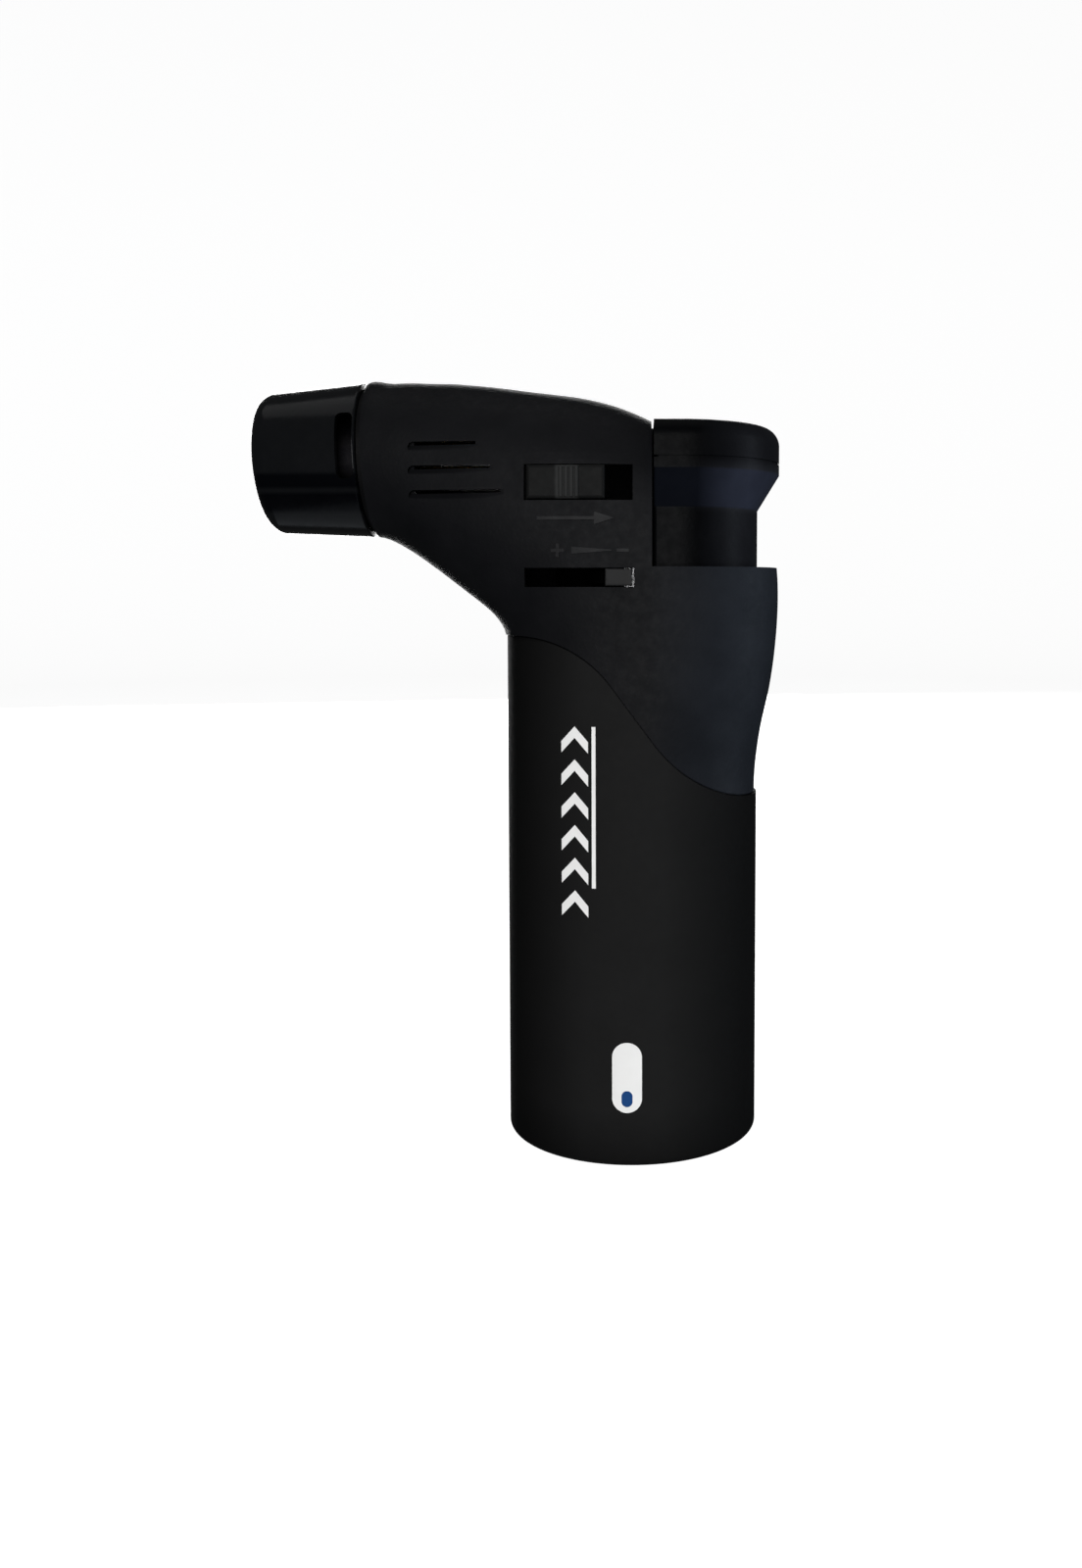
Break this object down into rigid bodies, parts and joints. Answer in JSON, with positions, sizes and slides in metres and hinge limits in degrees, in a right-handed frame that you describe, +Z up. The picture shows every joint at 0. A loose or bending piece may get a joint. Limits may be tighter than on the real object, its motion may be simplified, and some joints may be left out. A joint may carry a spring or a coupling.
{
  "type": "butane torch",
  "caption": "Pocket butane torch with piezo button, nozzle guard, lock slider, flame lever and refillable tank grip.",
  "frame": {"origin": "centre of the refill recess's mouth, in the flat base, on the fuel tank's axis", "axes": "+Z up along the tank, the nozzle points to -X, the thumb button is at +X, and the side with the two sliders faces -Y"},
  "size_m": [0.0836, 0.0356, 0.1227],
  "materials": {
    "sleeve_paint": "satin black paint",
    "housing_black": "fine grained black moulding",
    "guard_gloss": "gloss black lacquer",
    "button_plastic": "satin black moulding",
    "slider_grey": "satin grey moulding",
    "tank_plastic": "translucent moulding",
    "case_plastic": "natural moulding",
    "brass": "turned",
    "steel": "bright",
    "flange_metal": "blackened",
    "rubber": "matt",
    "ceramic_white": "unglazed",
    "ceramic_grey": "unglazed",
    "wire_insulation": "smooth black insulation",
    "hose_clear": "silicone",
    "filter_felt": "felt"
  },
  "bodies": {
    "torch": {"tank_sleeve": "sleeve_paint", "tank_shell": "tank_plastic", "tank_lid": "tank_plastic", "refill_valve_body": "brass", "refill_valve_seal": "rubber", "refill_valve_spring": "steel", "refill_o_ring": "rubber", "outlet_valve_body": "brass", "outlet_valve_spring": "steel", "flow_filter": "filter_felt", "wick": "filter_felt", "gas_hose": "hose_clear", "jet_holder": "brass", "jet_orifice": "steel", "mixing_tube": "brass", "burner_tube": "flange_metal", "flame_holder": "brass", "burner_flange": "flange_metal", "nozzle_guard": "guard_gloss", "electrode": "steel", "electrode_insulator": "ceramic_white", "ignition_wire": "wire_insulation", "piezo_case": "case_plastic", "piezo_crystal": "ceramic_grey", "piezo_anvil": "steel", "piezo_return_spring": "steel", "hammer_spring": "steel", "lever_pin": "steel", "shell_screws": "steel", "lock_detent_spring": "steel", "left_shell": "housing_black", "right_shell": "housing_black"},
    "button": {"ignition_button": "button_plastic", "piezo_plunger": "case_plastic"},
    "lever": {"gas_lever": "steel"},
    "valve": {"outlet_valve_stem": "brass", "outlet_valve_seal": "rubber"},
    "hammer": {"piezo_hammer": "steel"},
    "lock": {"lock_slider": "slider_grey"},
    "flame": {"flame_lever": "slider_grey"},
    "refill": {"refill_valve_stem": "brass"}
  },
  "joints": [
    {"name": "button_press", "type": "slide", "parent": "torch", "child": "button", "axis": [0, 0, -1], "range_m": [0, 0.006], "stiffness_N_per_m": 900, "springref_m": -0.006, "deforming": ["piezo_return_spring", "hammer_spring"]},
    {"name": "lever_turn", "type": "hinge", "parent": "torch", "child": "lever", "pos_m": [-0.0022, 0, 0.0958], "axis": [0, 1, 0], "range_deg": [0, 12]},
    {"name": "valve_lift", "type": "slide", "parent": "torch", "child": "valve", "axis": [0, 0, 1], "range_m": [0, 0.0012], "deforming": ["outlet_valve_spring"]},
    {"name": "hammer_strike", "type": "slide", "parent": "torch", "child": "hammer", "axis": [0, 0, -1], "range_m": [0, 0.0034], "stiffness_N_per_m": 500, "springref_m": -0.003},
    {"name": "lock_slide", "type": "slide", "parent": "torch", "child": "lock", "axis": [1, 0, 0], "range_m": [0, 0.004]},
    {"name": "flame_adjust", "type": "hinge", "parent": "torch", "child": "flame", "pos_m": [-0.0079, 0, 0.0909], "axis": [0, 0, 1], "range_deg": [-38, 0]},
    {"name": "refill_press", "type": "slide", "parent": "torch", "child": "refill", "axis": [0, 0, 1], "range_m": [0, 0.0015], "stiffness_N_per_m": 600, "springref_m": -0.002, "deforming": ["refill_valve_spring"]}
  ],
  "couplings": [
    {"joint": "lever_turn", "follows": "button_press", "rad_per_m": 34.9},
    {"joint": "valve_lift", "follows": "button_press", "ratio": 0.2}
  ]
}
